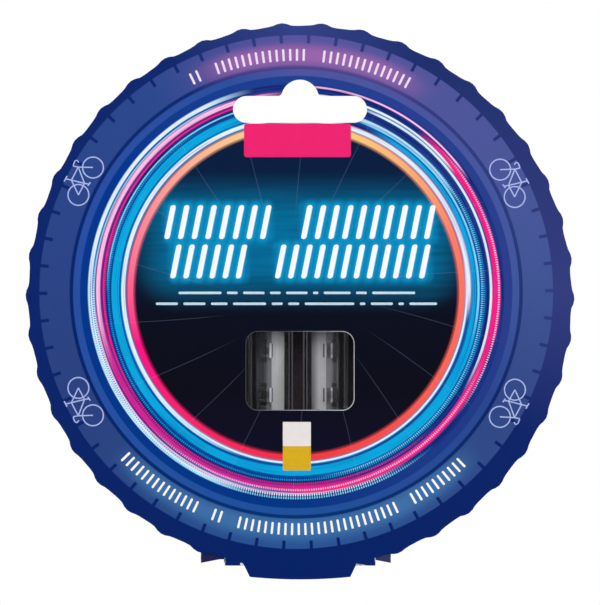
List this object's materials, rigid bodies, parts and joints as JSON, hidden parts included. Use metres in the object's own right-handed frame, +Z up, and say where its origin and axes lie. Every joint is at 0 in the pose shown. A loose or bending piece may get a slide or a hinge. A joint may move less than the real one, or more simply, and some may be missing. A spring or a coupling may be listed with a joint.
{
  "type": "boxed spoke light pair",
  "caption": "Round scalloped hanging carton with a film window, holding clear-tube LED spoke lights that lift out; end caps turn, buttons press and the bottom flap opens.",
  "frame": {"origin": "dome centre of the hanging slot, in the plane of the card's back face", "axes": "-Y out of the printed front, +Y towards the box behind the card, +Z up, +X to the right seen from the front"},
  "size_m": [0.131, 0.0202, 0.1328],
  "materials": {
    "printed_card": "coated print",
    "box_board": "coated print",
    "black_board": "matt",
    "clear_film": "clear",
    "clear_tube": "clear",
    "black_plastic": "satin",
    "seal_rubber": "matt",
    "cell_steel": "plated",
    "spring_steel": "plated",
    "brass": "polished",
    "white_board": "solder mask",
    "led_package": "moulded",
    "chip_black": "moulded",
    "grey_rubber": "matt"
  },
  "bodies": {
    "carton": {"front_card": "printed_card", "window_film": "clear_film", "box_sleeve": "box_board", "dust_flaps": "box_board", "lamp_cradle": "black_board"},
    "bottom_flap": {"bottom_flap": "box_board"},
    "left_light": {"left_tube": "clear_tube", "left_contact_disc": "brass", "left_circuit_board": "white_board", "left_leds": "led_package", "left_controller_chip": "chip_black", "left_motion_switch": "cell_steel", "left_chip_resistors": "chip_black", "left_key_switch": "chip_black", "left_button_plug": "black_plastic", "left_plug_seal": "seal_rubber", "left_spoke_clips": "black_plastic"},
    "left_cap": {"left_battery_cap": "black_plastic", "left_cap_seal": "seal_rubber", "left_button_cells": "cell_steel", "left_battery_spring": "spring_steel"},
    "left_button": {"left_push_button": "grey_rubber"},
    "right_light": {"right_tube": "clear_tube", "right_contact_disc": "brass", "right_circuit_board": "white_board", "right_leds": "led_package", "right_controller_chip": "chip_black", "right_motion_switch": "cell_steel", "right_chip_resistors": "chip_black", "right_key_switch": "chip_black", "right_button_plug": "black_plastic", "right_plug_seal": "seal_rubber", "right_spoke_clips": "black_plastic"},
    "right_cap": {"right_battery_cap": "black_plastic", "right_cap_seal": "seal_rubber", "right_button_cells": "cell_steel", "right_battery_spring": "spring_steel"},
    "right_button": {"right_push_button": "grey_rubber"}
  },
  "joints": [
    {"name": "bottom_flap_hinge", "type": "hinge", "parent": "carton", "child": "bottom_flap", "pos_m": [0, 0.01945, -0.1103], "axis": [1, 0, 0], "range_deg": [0, 100]},
    {"name": "left_light_lift", "type": "slide", "parent": "carton", "child": "left_light", "axis": [0, 0, 1], "range_m": [0, 0.13]},
    {"name": "left_cap_turn", "type": "hinge", "parent": "left_light", "child": "left_cap", "pos_m": [-0.0072, 0.0082, -0.109], "axis": [0, 0, 1], "range_deg": [0, 60]},
    {"name": "left_button_press", "type": "slide", "parent": "left_light", "child": "left_button", "axis": [0, 0, -1], "range_m": [0, 0.0006], "stiffness_N_per_m": 800},
    {"name": "right_light_lift", "type": "slide", "parent": "carton", "child": "right_light", "axis": [0, 0, 1], "range_m": [0, 0.13]},
    {"name": "right_cap_turn", "type": "hinge", "parent": "right_light", "child": "right_cap", "pos_m": [0.0062, 0.0082, -0.0116], "axis": [0, 0, -1], "range_deg": [0, 60]},
    {"name": "right_button_press", "type": "slide", "parent": "right_light", "child": "right_button", "axis": [0, 0, 1], "range_m": [0, 0.0006], "stiffness_N_per_m": 800}
  ]
}
